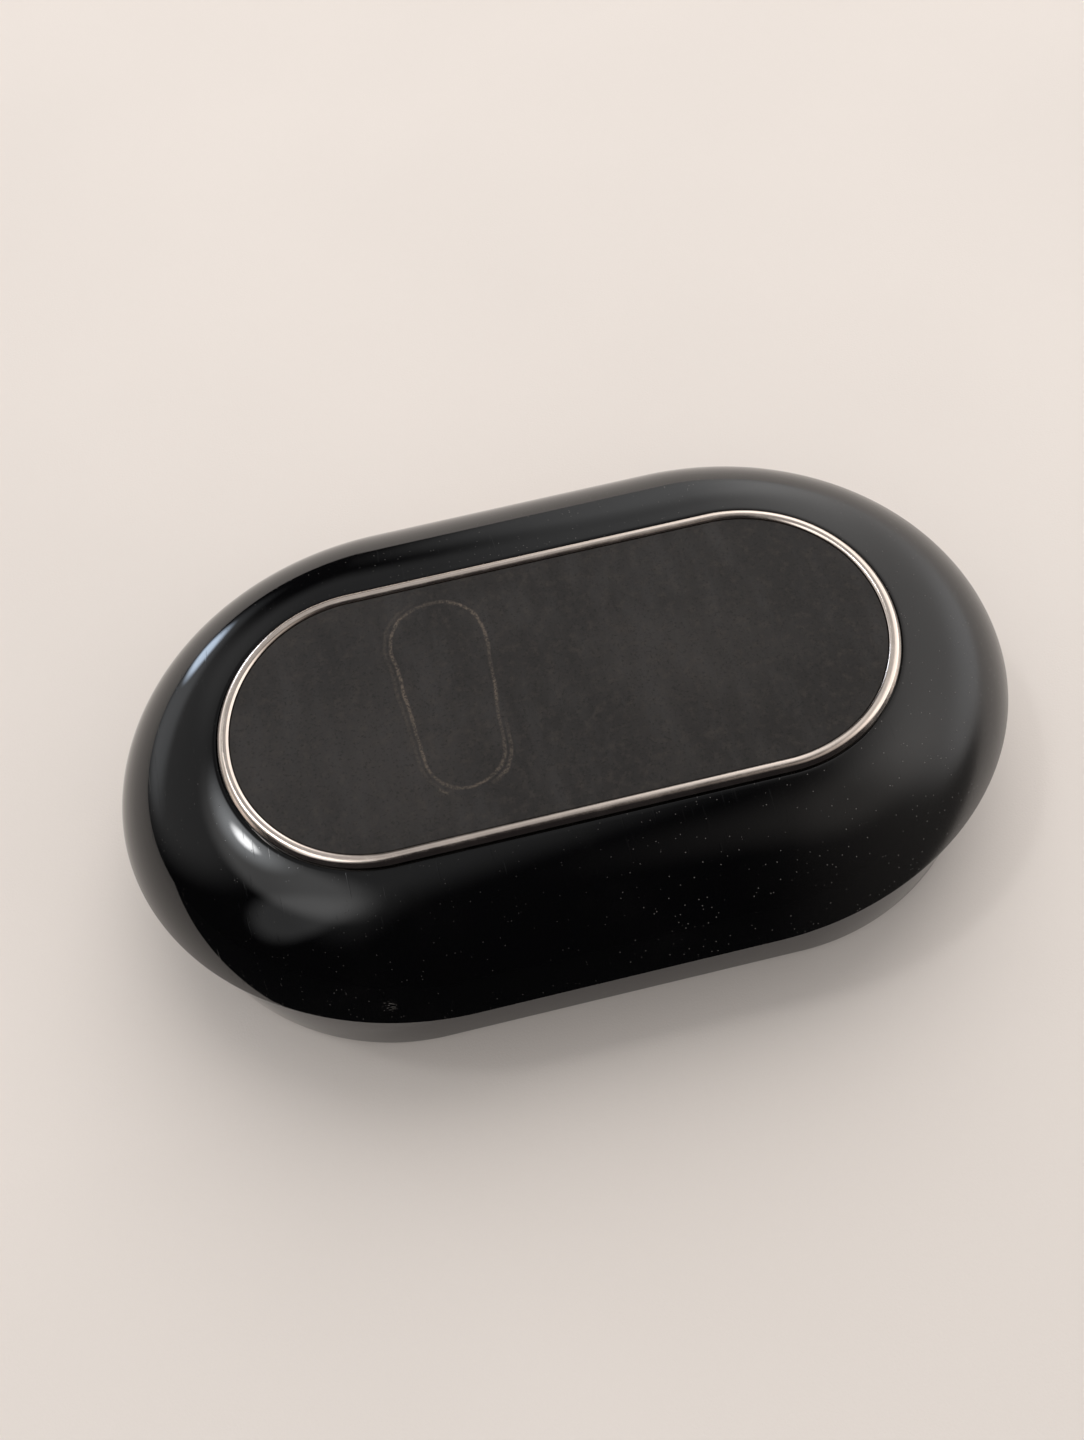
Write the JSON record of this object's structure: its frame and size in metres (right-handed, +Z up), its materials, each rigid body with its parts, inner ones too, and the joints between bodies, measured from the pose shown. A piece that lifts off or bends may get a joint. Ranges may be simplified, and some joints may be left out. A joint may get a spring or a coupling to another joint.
{
  "type": "hinged hard case",
  "caption": "Hard case with rounded ends, a domed gloss black lid with a matt inset panel and metal trim ring, hinged at the back and held shut by a spring ball catch.",
  "frame": {"origin": "on the surface the case stands on, under the middle of its bounding box", "axes": "+Z up through the lid, +X along the case's length, -Y to the front where the lid opens, hinge on +Y"},
  "size_m": [0.1498, 0.0896, 0.0373],
  "materials": {
    "gloss_black": "high gloss moulded, fine dust and hairline marks",
    "satin_black": "satin moulded",
    "matt_panel": "matt, faintly mottled, with a rubbed outline",
    "nickel": "polished, slightly warm",
    "steel": "bright",
    "brass": "turned",
    "sole_rubber": "matt",
    "lining_cloth": "short-pile flock",
    "board": "grey-brown fibre board"
  },
  "bodies": {
    "base": {"base_shell": "gloss_black", "sole_pad": "sole_rubber", "base_lining": "lining_cloth", "cushion_board": "board", "base_cushion": "lining_cloth", "hinge_leaf_base": "nickel", "base_leaf_screw_1": "steel", "base_leaf_screw_2": "steel", "base_leaf_screw_3": "steel", "hinge_pin": "steel", "catch_block": "satin_black", "catch_screw_1": "steel", "catch_screw_2": "steel", "catch_spring": "steel", "catch_plug": "brass"},
    "ball": {"catch_ball": "steel"},
    "lid": {"lid_shell": "gloss_black", "top_panel": "matt_panel", "trim_ring": "nickel", "push_nut_1": "steel", "push_nut_2": "steel", "push_nut_3": "steel", "push_nut_4": "steel", "push_nut_5": "steel", "push_nut_6": "steel", "push_nut_7": "steel", "push_nut_8": "steel", "lid_board": "board", "lid_lining": "lining_cloth", "hinge_leaf_lid": "nickel", "lid_leaf_screw_1": "steel", "lid_leaf_screw_2": "steel", "strike_plate": "nickel", "strike_screw_1": "steel", "strike_screw_2": "steel"}
  },
  "joints": [
    {"name": "lid_hinge", "type": "hinge", "parent": "base", "child": "lid", "pos_m": [0, 0.0434, 0.0182], "axis": [-1, 0, 0], "range_deg": [0, 105]},
    {"name": "ball_slide", "type": "slide", "parent": "base", "child": "ball", "axis": [0, 1, 0], "range_m": [0, 0.0007], "stiffness_N_per_m": 800, "springref_m": -0.001, "deforming": ["catch_spring"]}
  ]
}
